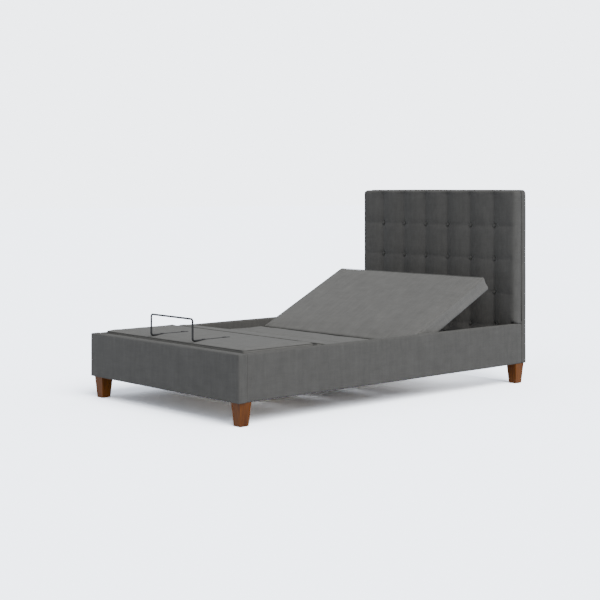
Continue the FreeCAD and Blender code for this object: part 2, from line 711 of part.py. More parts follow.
def make_chassis():
    save("chassis_cross_tubes", [square_tube(-CROSS_HALF, CROSS_HALF, y - CROSS / 2, y + CROSS / 2,
                                             CROSS_Z, CROSS_Z + CROSS, "X")
                                 for y in (CROSS_FOOT_Y, CROSS_HEAD_Y)])
    side = square_tube(SIDE_IN, SIDE_IN + SIDE, SIDE_FOOT_END, SIDE_HEAD_END, SIDE_Z, SIDE_Z + SIDE, "Y")
    lug = box(LINK_LUG_X, SIDE_IN, LINK_Y - 15, LINK_Y + 15, SIDE_Z, LINK_Z + 14)
    lug = lug.cut(rod_x(LINK_X, SIDE_IN + 1, LINK_Y, LINK_Z, LINK_PIN_R + RUN_FIT))
    save("chassis_side_tubes", both_sides(side) + both_sides(lug))
    top = SIDE_Z + SIDE
    spacers = [rounded_box(SIDE_IN, SIDE_IN + SIDE, y - SPACER_DY, y + SPACER_DY, top, DECK_LOW, 2.0, "Z")
               for y in (-140.0, 50.0)]
    save("seat_spacers", spacers + [mirrored(s) for s in spacers])
    buffers = [rod_z(top, DECK_LOW - BUFFER_GAP, SIDE_IN + SIDE / 2, y, BUFFER_R) for y in (-420.0, 225.0)]
    save("rest_buffers", buffers + [mirrored(b) for b in buffers])
    blocks = []
    for y, z in (HEAD_SHAFT, LEG_SHAFT):
        block = rounded_box(SIDE_IN - BEARING_T, SIDE_IN, y - BEARING_DY, y + BEARING_DY,
                            SIDE_Z, z + BEARING_HALF, 8.0, "X")
        blocks.append(block.cut(rod_x(0, SIDE_IN + 1, y, z, SHAFT_R + RUN_FIT)))
    save("shaft_bearings", blocks + [mirrored(b) for b in blocks])


def make_head_section():
    pad, wood = deck_section(HEAD_HINGE_Y + GAP, HEAD_END, HEAD_END)
    nodes = {"deck_head_pad": [pad], "deck_head_board": wood,
             "head_hinge_head_leaves": [end_leaf(x, HEAD_HINGE, 1, 1) for x in HINGE_X],
             "head_hinge_pins": hinge_pins(HEAD_HINGE),
             "head_lift_tracks": lift_tracks(HEAD_HINGE, 1)}
    for name, solids in nodes.items():
        save(name, [turned(s, HEAD_HINGE, HEAD_REST) for s in solids])


def make_seat_section():
    pad, wood = deck_section(THIGH_HINGE_Y + GAP, HEAD_HINGE_Y - GAP)
    save("deck_seat_pad", pad)
    save("deck_seat_board", wood)
    save("head_hinge_seat_leaves", [end_leaf(x, HEAD_HINGE, -1, 0) for x in HINGE_X])
    save("thigh_hinge_seat_leaves", [end_leaf(x, THIGH_HINGE, 1, 0) for x in HINGE_X])


def make_thigh_section():
    pad, wood = deck_section(KNEE_Y + GAP, THIGH_HINGE_Y - GAP)
    nodes = {"deck_thigh_pad": [pad], "deck_thigh_board": wood,
             "thigh_hinge_thigh_leaves": [end_leaf(x, THIGH_HINGE, -1, 1) for x in HINGE_X],
             "knee_hinge_thigh_leaves": [under_leaf(x, KNEE, 1, 0) for x in HINGE_X],
             "leg_hinge_pins": hinge_pins(THIGH_HINGE) + hinge_pins(KNEE),
             "leg_lift_tracks": lift_tracks(THIGH_HINGE, -1)}
    for name, solids in nodes.items():
        save(name, [turned(s, THIGH_HINGE, -THIGH_REST) for s in solids])


def make_calf_section():
    """The calf section stays level: it only shifts by as much as the knee does."""
    rest_arm = swing(KNEE_ARM, -THIGH_REST)
    shift = V(0, rest_arm[0] - KNEE_ARM[0], rest_arm[1] - KNEE_ARM[1])
    pad, wood = deck_section(CALF_END, KNEE_Y - GAP, CALF_END)
    far_y, far_z = LINK_FAR
    cheek = box(LINK_LUG_X, LINK_LUG_X + 8, far_y - 16, far_y + 16, far_z - 14, DECK_LOW)
    cheek = cheek.fuse(box(LINK_LUG_X - 22, LINK_LUG_X + 8, far_y - 40, far_y + 40, DECK_LOW - 4, DECK_LOW))
    cheek = cheek.removeSplitter().cut(rod_x(0, SIDE_IN, far_y, far_z, LINK_PIN_R + 0.5))
    nodes = {"deck_calf_pad": [pad], "deck_calf_board": wood,
             "knee_hinge_calf_leaves": [under_leaf(x, KNEE, -1, 1) for x in HINGE_X],
             "calf_link_brackets": both_sides(cheek),
             "retainer_bar": [retainer_bar()], "retainer_clips": retainer_clips()}
    for name, solids in nodes.items():
        save(name, [s.translated(shift) for s in solids])
    print("knee at rest", round(THIGH_HINGE[0] + rest_arm[0], 3), round(THIGH_HINGE[1] + rest_arm[1], 3),
          "calf shift", shift)


def make_calf_links():
    """Links parallel to the line from the thigh hinge to the knee, so the calf section stays level."""
    arm = bar_between(LINK, LINK_FAR, LINK_R, LINK_R, LINK_X, LINK_T)
    near_pin = rod_x(LINK_X, SIDE_IN - 1, LINK[0], LINK[1], LINK_PIN_R)
    far_pin = rod_x(LINK_X, LINK_LUG_X + 10, LINK_FAR[0], LINK_FAR[1], LINK_PIN_R)
    arm = arm.cut(near_pin).cut(far_pin)
    pieces = both_sides(arm) + both_sides(near_pin) + both_sides(far_pin)
    save("calf_links", [turned(s, LINK, -THIGH_REST) for s in pieces])


def make_lift(prefix, shaft, along, mid, rest, motor_x, mouth_gap, slide, cross_y):
    gear = lift_gear(shaft, along, mid, motor_x)
    turn = along * rest
    save(prefix + "_torque_tube", turned(gear["tube"], shaft, turn))
    save(prefix + "_lift_arms", [turned(s, shaft, turn) for s in gear["arms"] + gear["axles"]])
    save(prefix + "_lift_levers", [turned(s, shaft, turn) for s in gear["levers"]])
    save(prefix + "_rollers", [turned(s, shaft, turn) for s in gear["rollers"]])
    tip = swing((along * ARM_DY, ARM_DZ), turn)
    print(prefix, "roller at rest", round(shaft[0] + tip[0], 3), round(shaft[1] + tip[1], 3))

    housing, pin_y = motor(shaft, -along, motor_x, mouth_gap)
    save(prefix + "_motor", housing)
    stroke_back = slide * math.radians(mid)
    rod, cross_pin = motor_rod(shaft, -along, motor_x, stroke_back)
    moved = V(0, along * slide * math.radians(rest), 0)
    save(prefix + "_motor_rod", [rod.translated(moved), cross_pin.translated(moved)])
    pin_half = LUG_HALF_W + CHEEK_T + 3
    mount_pin = rod_x(motor_x - pin_half, motor_x + pin_half, pin_y, MOTOR_Z, LUG_PIN_R)
    return motor_bracket(pin_y, cross_y, motor_x), mount_pin


def make_control_box():
    x0, x1 = BOX_X
    y0, y1 = BOX_Y
    case = rounded_box(x0, x1, y0, y1, BOX_LOW, DECK_LOW, 6.0, "Z")
    inlet = box(x1 - 12, x1 + 1, -80.0, -52.0, BOX_LOW + 8, BOX_LOW + 28)
    save("control_box", case.cut(inlet))
    socket = rounded_box(x1 - 12, x1, -80.0, -52.0, BOX_LOW + 8, BOX_LOW + 28, 2.0, "X")
    well = box(x1 - 9, x1 + 1, -77.0, -55.0, BOX_LOW + 11, BOX_LOW + 25)
    save("mains_inlet", socket.cut(well))


LEG_LEAD = [(240.0, -30.0, 222.0), (220.0, -30.0, 223.0), (198.0, -18.0, 221.0), (179.0, 4.0, 213.0),
            (164.0, 26.0, 200.0), (155.0, 44.0, 184.0), (152.0, 52.0, 163.0)]
HEAD_LEAD = [(240.0, -92.0, 222.0), (215.0, -92.0, 224.0), (182.0, -97.0, LEAD_Z),
             (124.0, -104.0, LEAD_Z - 1), (60.0, -106.0, LEAD_Z), (-6.0, -114.0, LEAD_Z - 1),
             (-66.0, -126.0, LEAD_Z - 3), (-108.0, -144.0, 216.0), (-132.0, -160.0, 197.0),
             (-141.0, -168.0, 180.0), (-143.0, -170.0, 163.0)]


def lead_clip(a, b):
    """A small saddle under the seat board, over the middle of the run from a to b."""
    middle = V((a[0] + b[0]) / 2, (a[1] + b[1]) / 2, (a[2] + b[2]) / 2)
    run = V(b[0] - a[0], b[1] - a[1], b[2] - a[2])
    clip = box(middle.x - 5, middle.x + 5, middle.y - 7, middle.y + 7, middle.z - 5, DECK_LOW)
    start = middle - run.normalize() * 20
    return clip.cut(Part.makeCylinder(LEAD_R + 0.2, 40, start, run))


def main():
    os.makedirs("parts", exist_ok=True)
    make_surround()
    make_chassis()
    make_seat_section()
    make_head_section()
    make_thigh_section()
    make_calf_section()
    make_calf_links()
    head_mount = make_lift("head", HEAD_SHAFT, 1, HEAD_MID, HEAD_REST, -MOTOR_X, MOUTH_GAP,
                           HEAD_SLIDE, CROSS_FOOT_Y)
    leg_mount = make_lift("leg", LEG_SHAFT, -1, THIGH_MID, THIGH_REST, MOTOR_X, LEG_MOUTH_GAP,
                          LEG_SLIDE, CROSS_HEAD_Y)
    save("motor_brackets", head_mount[0] + leg_mount[0] + [head_mount[1], leg_mount[1]])
    make_control_box()
    save("motor_leads", [lead(LEG_LEAD, "leg lead"), lead(HEAD_LEAD, "head lead")])
    save("lead_clips", [lead_clip(HEAD_LEAD[3], HEAD_LEAD[4]), lead_clip(HEAD_LEAD[4], HEAD_LEAD[5])])


main()
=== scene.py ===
import json
import math

import bpy
import numpy as np
from mathutils import Matrix, Vector, noise

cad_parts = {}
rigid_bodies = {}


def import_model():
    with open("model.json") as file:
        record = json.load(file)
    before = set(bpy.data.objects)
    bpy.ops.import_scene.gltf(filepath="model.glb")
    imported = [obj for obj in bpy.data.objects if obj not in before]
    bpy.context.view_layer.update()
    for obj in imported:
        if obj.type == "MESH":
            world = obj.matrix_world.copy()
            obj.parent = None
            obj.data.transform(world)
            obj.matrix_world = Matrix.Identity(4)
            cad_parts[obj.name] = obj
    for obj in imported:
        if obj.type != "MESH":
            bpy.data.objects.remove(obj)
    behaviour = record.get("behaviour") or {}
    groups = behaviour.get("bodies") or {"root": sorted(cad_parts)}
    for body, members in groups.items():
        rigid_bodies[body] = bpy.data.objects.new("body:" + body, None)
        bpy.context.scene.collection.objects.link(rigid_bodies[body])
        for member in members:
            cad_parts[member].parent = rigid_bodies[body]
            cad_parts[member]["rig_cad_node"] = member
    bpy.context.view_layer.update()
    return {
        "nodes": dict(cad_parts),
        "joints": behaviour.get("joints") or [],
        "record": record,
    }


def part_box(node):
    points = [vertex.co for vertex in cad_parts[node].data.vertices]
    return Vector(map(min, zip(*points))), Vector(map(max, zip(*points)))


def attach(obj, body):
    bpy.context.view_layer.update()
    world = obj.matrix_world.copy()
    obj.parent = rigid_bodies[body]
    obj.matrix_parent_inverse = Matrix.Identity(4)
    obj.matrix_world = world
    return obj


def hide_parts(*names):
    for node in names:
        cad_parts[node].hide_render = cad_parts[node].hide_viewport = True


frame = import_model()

NODES = frame["nodes"]
JOINTS = {joint["name"]: joint for joint in frame["joints"]}


# ---- reading the frame --------------------------------------------------------------------------

def mesh_points(mesh):
    points = np.zeros(len(mesh.vertices) * 3)
    mesh.vertices.foreach_get("co", points)
    return points.reshape(-1, 3)


def node_points(name):
    return mesh_points(NODES[name].data)


def pivot_turn(joint_name):
    """The matrix that turns a section from flat, its joint's lowest value, to rest."""
    joint = JOINTS[joint_name]
    angle = -math.radians(joint["range_deg"][0])
    pivot = Vector(joint["pos_m"])
    turn = Matrix.Rotation(angle, 4, Vector(joint["axis"]))
    return Matrix.Translation(pivot) @ turn @ Matrix.Translation(-pivot)


def flat_box(name, turn):
    """A node's box with its section turned back to flat."""
    back = np.array(turn.inverted())
    points = node_points(name) @ back[:3, :3].T + back[:3, 3]
    return Vector(points.min(0)), Vector(points.max(0))


# ---- mesh helpers -------------------------------------------------------------------------------

def new_object(name, vertices, faces, smooth=True):
    mesh = bpy.data.meshes.new(name)
    mesh.from_pydata([tuple(v) for v in vertices], [], faces)
    mesh.validate()
    mesh.update()
    if smooth:
        mesh.polygons.foreach_set("use_smooth", [True] * len(mesh.polygons))
    piece = bpy.data.objects.new(name, mesh)
    bpy.context.scene.collection.objects.link(piece)
    return piece


def side_samples(low, high, radius, cell, stops=(), steps=5):
    """Places along one side of a rounded box: close together round each edge, even between the stops."""
    bend = [radius * (1 - math.tan(math.radians(45 * (1 - k / steps)))) for k in range(steps)]
    marks = [low + radius] + sorted(stops) + [high - radius]
    middle = [marks[0]]
    for a, b in zip(marks, marks[1:]):
        count = max(1, round((b - a) / cell))
        middle += [a + (b - a) * k / count for k in range(1, count + 1)]
    return np.array([low + d for d in bend] + middle + [high - d for d in reversed(bend)])


def rounded_grid(low, high, radius, cell, stops=((), (), ())):
    """Vertices, outward normals and faces of a rounded box as an even grid."""
    axes = [side_samples(low[a], high[a], radius, cell, stops[a]) for a in range(3)]
    counts = [len(axis) for axis in axes]
    index = {}
    points = []
    faces = []

    def vertex(i, j, k):
        key = (i, j, k)
        if key not in index:
            index[key] = len(points)
            points.append((axes[0][i], axes[1][j], axes[2][k]))
        return index[key]

    for axis in range(3):
        u, v = [a for a in range(3) if a != axis]
        for end in (0, counts[axis] - 1):
            flip = (end == 0) == (axis != 1)
            for i in range(counts[u] - 1):
                for j in range(counts[v] - 1):
                    ring = []
                    for di, dj in ((0, 0), (1, 0), (1, 1), (0, 1)):
                        place = [0, 0, 0]
                        place[axis] = end
                        place[u] = i + di
                        place[v] = j + dj
                        ring.append(vertex(*place))
                    faces.append(ring[::-1] if flip else ring)
    points = np.array(points)
    inner_low = np.array(low) + radius
    inner_high = np.array(high) - radius
    core = np.clip(points, inner_low, inner_high)
    normals = points - core
    normals /= np.linalg.norm(normals, axis=1)[:, None]
    return core + normals * radius, normals, faces


def bulge(points, normals, low, high, crown):
    """Push each pair of faces out by crown (x, y, z), most in the middle and nothing at the edges."""
    middle = (np.array(low) + np.array(high)) / 2
    half = (np.array(high) - np.array(low)) / 2
    share = np.clip(np.abs((points - middle) / half), 0, 1)
    out = points.copy()
    for axis in range(3):
        u, v = [a for a in range(3) if a != axis]
        fall = (1 - share[:, u] ** 4) * (1 - share[:, v] ** 4)
        out[:, axis] += crown[axis] * fall * normals[:, axis] * np.abs(normals[:, axis])
    return out


def ripple(points, normals, size, height, seed, stretch=(1.0, 1.0, 1.0)):
    """Small uneven waves in a cover, along the normals."""
    offset = Vector((seed * 3.7, seed * 1.3, seed * 5.1))
    out = points.copy()
    scale = np.array(stretch) / size
    for n in range(len(points)):
        place = Vector(points[n] * scale) + offset
        out[n] += normals[n] * (height * noise.noise(place))
    return out


def soft_box(name, low, high, radius, cell, crown, wave=(0.09, 0.0008), seed=1, stretch=(1, 1, 1)):
    points, normals, faces = rounded_grid(low, high, radius, cell)
    points = bulge(points, normals, low, high, crown)
    points = ripple(points, normals, wave[0], wave[1], seed, stretch)
    return new_object(name, points, faces)


CLOTH_FRAMES = 14
CLOTH_MASS = 0.3
CLOTH_STRETCH = 18
CLOTH_BENDING = 0.4


def inflate(piece, hold, pressure, cap):
    """hold is a weight for each vertex, 1 where the cover is sewn or stapled down. No vertex moves
    further than cap.
    """
    mesh = piece.data
    group = piece.vertex_groups.new(name="sewn")
    levels = np.round(hold, 1)
    for level in np.unique(levels):
        group.add([int(n) for n in np.flatnonzero(levels == level)], float(level), "REPLACE")
    cloth = piece.modifiers.new("cloth", "CLOTH")
    settings = cloth.settings
    settings.quality = 5
    settings.mass = CLOTH_MASS
    settings.tension_stiffness = CLOTH_STRETCH
    settings.compression_stiffness = CLOTH_STRETCH
    settings.bending_stiffness = CLOTH_BENDING
    settings.use_pressure = True
    settings.uniform_pressure_force = pressure
    settings.vertex_group_mass = group.name
    settings.effector_weights.gravity = 0
    cloth.collision_settings.use_collision = False
    cloth.point_cache.frame_end = CLOTH_FRAMES
    for frame_number in range(1, CLOTH_FRAMES + 1):
        bpy.context.scene.frame_set(frame_number)
    result = piece.evaluated_get(bpy.context.evaluated_depsgraph_get()).data
    before = mesh_points(mesh)
    move = mesh_points(result) - before
    length = np.linalg.norm(move, axis=1)[:, None]
    move *= np.minimum(1.0, cap / np.maximum(length, 1e-9))
    piece.modifiers.remove(cloth)
    piece.vertex_groups.clear()
    mesh.vertices.foreach_set("co", (before + move).ravel())
    mesh.update()
    bpy.context.scene.frame_set(1)


def welt(name, corners, radius, corner_radius):
    """A thin round welt round a closed ring of corners, as a swept mesh tube."""
    return sweep(name, rounded_path([Vector(c) for c in corners], corner_radius), radius)


def rounded_path(corners, radius, steps=5):
    """A closed ring of places with each corner cut to a curve."""
    count = len(corners)
    path = []
    for n, corner in enumerate(corners):
        before = (corners[n - 1] - corner).normalized()
        after = (corners[(n + 1) % count] - corner).normalized()
        start = corner + before * radius
        end = corner + after * radius
        for k in range(steps + 1):
            t = k / steps
            path.append(start.lerp(corner, t).lerp(corner.lerp(end, t), t))
    return path


def sweep(name, path, radius, sides=8):
    """A round tube along a closed ring of places."""
    vertices = []
    faces = []
    count = len(path)
    reference = Vector((0.31, 0.17, 0.93)).normalized()
    for n, place in enumerate(path):
        along = (path[(n + 1) % count] - path[n - 1]).normalized()
        across = along.cross(reference).normalized()
        up = across.cross(along)
        for s in range(sides):
            angle = 2 * math.pi * s / sides
            vertices.append(place + (across * math.cos(angle) + up * math.sin(angle)) * radius)
    for n in range(count):
        m = (n + 1) % count
        for s in range(sides):
            t = (s + 1) % sides
            faces.append([n * sides + s, n * sides + t, m * sides + t, m * sides + s])
    return new_object(name, vertices, faces)


def moved(piece, matrix):
    piece.data.transform(matrix)
    return piece


def add_box_uv(piece):
    """A UV map in metres, laid flat on whichever of the three main planes each face is nearest to."""
    mesh = piece.data
    layer = mesh.uv_layers.new(name="cloth")
    for polygon in mesh.polygons:
        normal = polygon.normal
        axis = max(range(3), key=lambda a: abs(normal[a]))
        u, v = {0: (1, 2), 1: (0, 2), 2: (0, 1)}[axis]
        for corner in polygon.loop_indices:
            place = mesh.vertices[mesh.loops[corner].vertex_index].co
            layer.data[corner].uv = (place[u], place[v])


# ---- materials ----------------------------------------------------------------------------------

class Shader:
    """A node material with a Principled BSDF and short calls for the nodes used here."""

    def __init__(self, name):
        self.material = bpy.data.materials.new(name)
        self.material.use_nodes = True
        self.tree = self.material.node_tree
        self.bsdf = self.tree.nodes["Principled BSDF"]

    def add(self, kind, **values):
        node = self.tree.nodes.new(kind)
        for key, value in values.items():
            if hasattr(node, key):
                setattr(node, key, value)
            else:
                node.inputs[key.replace("_", " ")].default_value = value
        return node

    def link(self, source, target):
        self.tree.links.new(source, target)

    def set(self, **values):
        for key, value in values.items():
            self.bsdf.inputs[key.replace("_", " ")].default_value = value

    def coordinates(self, kind="Object", scale=(1, 1, 1)):
        if kind == "UV":
            source = self.add("ShaderNodeUVMap", uv_map="cloth").outputs["UV"]
        else:
            source = self.add("ShaderNodeTexCoord").outputs[kind]
        mapping = self.add("ShaderNodeMapping")
        mapping.inputs["Scale"].default_value = scale
        self.link(source, mapping.inputs["Vector"])
        return mapping.outputs["Vector"]

    def noise(self, vector, scale, detail=3.0, roughness=0.5, distortion=0.0):
        node = self.add("ShaderNodeTexNoise")
        node.inputs["Scale"].default_value = scale
        node.inputs["Detail"].default_value = detail
        node.inputs["Roughness"].default_value = roughness
        node.inputs["Distortion"].default_value = distortion
        self.link(vector, node.inputs["Vector"])
        return node.outputs["Fac"]

    def wave(self, vector, scale, direction="X", distortion=0.0, detail=0.0, bands="SIN"):
        node = self.add("ShaderNodeTexWave")
        node.wave_type = "BANDS"
        node.bands_direction = direction
        node.wave_profile = bands
        node.inputs["Scale"].default_value = scale
        node.inputs["Distortion"].default_value = distortion
        node.inputs["Detail"].default_value = detail
        self.link(vector, node.inputs["Vector"])
        return node.outputs["Fac"]

    def math(self, operation, a, b=None):
        node = self.add("ShaderNodeMath")
        node.operation = operation
        for slot, value in ((0, a), (1, b)):
            if value is None:
                continue
            if isinstance(value, (int, float)):
                node.inputs[slot].default_value = value
            else:
                self.link(value, node.inputs[slot])
        return node.outputs[0]

    def ramp(self, factor, stops):
        node = self.add("ShaderNodeValToRGB")
        ramp = node.color_ramp
        while len(ramp.elements) < len(stops):
            ramp.elements.new(0.5)
        for element, (place, colour) in zip(ramp.elements, stops):
            element.position = place
            element.color = (*colour, 1.0)
        self.link(factor, node.inputs["Fac"])
        return node.outputs["Color"]

    def spread(self, factor, low, high):
        """A factor of 0 to 1 spread between two values."""
        node = self.add("ShaderNodeMapRange")
        node.inputs["To Min"].default_value = low
        node.inputs["To Max"].default_value = high
        self.link(factor, node.inputs["Value"])
        return node.outputs["Result"]

    def mix(self, factor, a, b, blend="MIX"):
        node = self.add("ShaderNodeMix")
        node.data_type = "RGBA"
        node.blend_type = blend
        for slot, value in ((0, factor), (6, a), (7, b)):
            if isinstance(value, (int, float)):
                node.inputs[slot].default_value = value
            elif isinstance(value, tuple):
                node.inputs[slot].default_value = (*value, 1.0)
            else:
                self.link(value, node.inputs[slot])
        return node.outputs[2]

    def bump(self, height, strength, distance, below=None):
        node = self.add("ShaderNodeBump")
        node.inputs["Strength"].default_value = strength
        node.inputs["Distance"].default_value = distance
        self.link(height, node.inputs["Height"])
        if below is not None:
            self.link(below, node.inputs["Normal"])
        return node.outputs["Normal"]


def scaled(colour, factor):
    return tuple(min(1.0, channel * factor) for channel in colour)


def fabric(name, colour):
    """A matt plain weave with uneven slub yarns, soft mottling and a faint nap."""
    s = Shader(name)
    flat = s.coordinates("UV")
    warp = s.wave(flat, WEAVE_BANDS, "X", distortion=0.6, detail=1.0)
    weft = s.wave(flat, WEAVE_BANDS, "Y", distortion=0.6, detail=1.0)
    weave = s.math("MULTIPLY", warp, weft)
    slub_warp = s.noise(s.coordinates("UV", scale=(420, 14, 420)), 1.0, 4.0, 0.6)
    slub_weft = s.noise(s.coordinates("UV", scale=(14, 420, 14)), 1.0, 4.0, 0.6)
    slub = s.math("MULTIPLY", s.math("ADD", slub_warp, slub_weft), 0.5)
    streak_up = s.noise(s.coordinates("UV", scale=(46, 4, 46)), 1.0, 3.0, 0.55)
    streak_across = s.noise(s.coordinates("UV", scale=(4, 40, 4)), 1.0, 3.0, 0.55)
    cloud = s.noise(flat, 14.0, 4.0, 0.6)
    tone = s.math("ADD", s.math("MULTIPLY", streak_up, 0.35),
                  s.math("ADD", s.math("MULTIPLY", streak_across, 0.2), s.math("MULTIPLY", cloud, 0.45)))
    base = s.ramp(tone, [(0.34, scaled(colour, 0.88)), (0.5, colour), (0.66, scaled(colour, 1.13))])
    yarn = s.ramp(slub, [(0.3, (0.76, 0.76, 0.76)), (0.55, (1.0, 1.0, 1.0)), (0.75, (1.2, 1.2, 1.2))])
    base = s.mix(0.7, base, yarn, "MULTIPLY")
    shade = s.ramp(weave, [(0.0, (0.8, 0.8, 0.8)), (0.6, (1.05, 1.05, 1.05))])
    base = s.mix(0.6, base, shade, "MULTIPLY")
    s.link(base, s.bsdf.inputs["Base Color"])
    s.link(s.spread(slub, 0.88, 0.98), s.bsdf.inputs["Roughness"])
    s.set(Sheen_Weight=0.12, Sheen_Roughness=0.45, Specular_IOR_Level=0.14)
    coarse = s.bump(slub, 0.22, 0.0006)
    s.link(s.bump(weave, 0.45, 0.0005, coarse), s.bsdf.inputs["Normal"])
    return s.material


def lacquered_wood(name, dark, light, roughness=0.42):
    """Straight-grained wood along Z with pores and slow colour bands."""
    s = Shader(name)
    along = s.coordinates("Object", scale=(46, 46, 2.4))
    fine = s.coordinates("Object", scale=(420, 420, 9))
    broad = s.coordinates("Object", scale=(11, 11, 0.9))
    grain = s.noise(along, 1.0, 6.0, 0.62, 0.9)
    pores = s.noise(fine, 1.0, 2.0, 0.5)
    bands = s.noise(broad, 1.0, 3.0, 0.5, 0.6)
    tone = s.math("ADD", s.math("MULTIPLY", grain, 0.65), s.math("MULTIPLY", bands, 0.35))
    middle = tuple((a + b) / 2 for a, b in zip(dark, light))
    colour = s.ramp(tone, [(0.34, dark), (0.5, middle), (0.66, light)])
    pore_shade = s.ramp(pores, [(0.36, (0.62, 0.6, 0.58)), (0.5, (1.0, 1.0, 1.0))])
    s.link(s.mix(0.55, colour, pore_shade, "MULTIPLY"), s.bsdf.inputs["Base Color"])
    s.link(s.spread(pores, roughness + 0.12, roughness - 0.06), s.bsdf.inputs["Roughness"])
    s.set(Specular_IOR_Level=0.3)
    s.link(s.bump(pores, 0.2, 0.0002, s.bump(grain, 0.12, 0.0004)), s.bsdf.inputs["Normal"])
    return s.material


def plywood(name, dark, light):
    """Rotary-cut birch face with broad wandering figure."""
    s = Shader(name)
    figure = s.noise(s.coordinates("Object", scale=(3.0, 16, 60)), 1.0, 5.0, 0.6, 1.4)
    fibre = s.noise(s.coordinates("Object", scale=(20, 340, 340)), 1.0, 3.0, 0.6)
    plies = s.wave(s.coordinates("Object"), 58.0, "Z", distortion=0.4)
    tone = s.math("ADD", s.math("MULTIPLY", figure, 0.7), s.math("MULTIPLY", fibre, 0.3))
    colour = s.ramp(tone, [(0.32, dark), (0.68, light)])
    lines = s.ramp(plies, [(0.0, (0.78, 0.74, 0.70)), (0.5, (1.0, 1.0, 1.0))])
    s.link(s.mix(0.5, colour, lines, "MULTIPLY"), s.bsdf.inputs["Base Color"])
    s.link(s.spread(fibre, 0.62, 0.82), s.bsdf.inputs["Roughness"])
    s.link(s.bump(fibre, 0.25, 0.0003), s.bsdf.inputs["Normal"])
    return s.material


def powder_coat(name, colour):
    """Fine orange-peel paint with dust and faint rub marks."""
    s = Shader(name)
    peel = s.noise(s.coordinates("Object"), 900.0, 2.0, 0.5)
    dust = s.noise(s.coordinates("Object"), 22.0, 5.0, 0.65)
    rub = s.noise(s.coordinates("Object", scale=(12, 160, 160)), 1.0, 4.0, 0.7)
    base = s.ramp(dust, [(0.38, scaled(colour, 0.85)), (0.7, scaled(colour, 1.7))])
    s.link(s.mix(s.math("MULTIPLY", rub, 0.14), base, scaled(colour, 4.0)), s.bsdf.inputs["Base Color"])
    s.link(s.spread(dust, 0.34, 0.56), s.bsdf.inputs["Roughness"])
    s.set(Metallic=0.15, Specular_IOR_Level=0.5)
    s.link(s.bump(peel, 0.18, 0.00015), s.bsdf.inputs["Normal"])
    return s.material


def plated_steel(name, colour, roughness):
    """Zinc or chrome plate with brushed lines and spangle."""
    s = Shader(name)
    brushed = s.noise(s.coordinates("Object", scale=(30, 900, 900)), 1.0, 3.0, 0.6)
    spangle = s.noise(s.coordinates("Object"), 130.0, 2.0, 0.5)
    base = s.ramp(spangle, [(0.35, scaled(colour, 0.8)), (0.65, scaled(colour, 1.15))])
    s.link(base, s.bsdf.inputs["Base Color"])
    s.link(s.spread(brushed, roughness - 0.06, roughness + 0.12), s.bsdf.inputs["Roughness"])
    s.set(Metallic=1.0)
    s.link(s.bump(brushed, 0.1, 0.0001), s.bsdf.inputs["Normal"])
    return s.material


def moulded_plastic(name, colour, roughness, grain=1400.0):
    """Spark-eroded plastic or rubber: fine grain with slight sheen changes."""
    s = Shader(name)
    fine = s.noise(s.coordinates("Object"), grain, 2.0, 0.6)
    cloud = s.noise(s.coordinates("Object"), 30.0, 4.0, 0.6)
    s.link(s.ramp(cloud, [(0.35, scaled(colour, 0.85)), (0.65, scaled(colour, 1.25))]),
           s.bsdf.inputs["Base Color"])
    s.link(s.spread(cloud, roughness - 0.07, roughness + 0.08), s.bsdf.inputs["Roughness"])
    s.link(s.bump(fine, 0.3, 0.00015), s.bsdf.inputs["Normal"])
    return s.material


WEAVE_BANDS = 150.0
SURROUND_GREY = (0.097, 0.0945, 0.0885)
DECK_GREY = (0.150, 0.147, 0.138)
MATERIALS = {
    "surround_fabric": fabric("surround fabric", SURROUND_GREY),
    "deck_fabric": fabric("deck fabric", DECK_GREY),
    "leg_wood": lacquered_wood("leg wood", (0.082, 0.0205, 0.0010), (0.198, 0.062, 0.0040)),
    "plywood": plywood("plywood", (0.33, 0.25, 0.165), (0.50, 0.41, 0.29)),
    "softwood": plywood("softwood", (0.38, 0.27, 0.16), (0.55, 0.43, 0.28)),
    "rubber": moulded_plastic("rubber", (0.022, 0.022, 0.023), 0.8, 700.0),
    "cable_rubber": moulded_plastic("cable rubber", (0.02, 0.02, 0.021), 0.6, 900.0),
    "black_plastic": moulded_plastic("black plastic", (0.03, 0.03, 0.031), 0.5),
    "motor_plastic": moulded_plastic("motor plastic", (0.075, 0.078, 0.082), 0.48),
    "chrome_rod": plated_steel("chrome rod", (0.66, 0.66, 0.67), 0.14),
    "zinc_steel": plated_steel("zinc steel", (0.52, 0.52, 0.51), 0.36),
    "black_steel": powder_coat("black steel", (0.018, 0.018, 0.019)),
}


def dress(piece, slot, body=None):
    """Material, slot and body, with a box UV map where the piece has none."""
    piece.data.materials.clear()
    piece.data.materials.append(MATERIALS[slot])
    if "cloth" not in piece.data.uv_layers and "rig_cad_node" not in piece:
        add_box_uv(piece)
    if body:
        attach(piece, body)
    return piece


def dress_cad_nodes():
    slots = {entry["node"]: entry["material_slot"] for entry in frame["record"]["subparts"]}
    for name, piece in NODES.items():
        piece.data.materials.clear()
        piece.data.materials.append(MATERIALS[slots[name]])


# ---- surround -----------------------------------------------------------------------------------

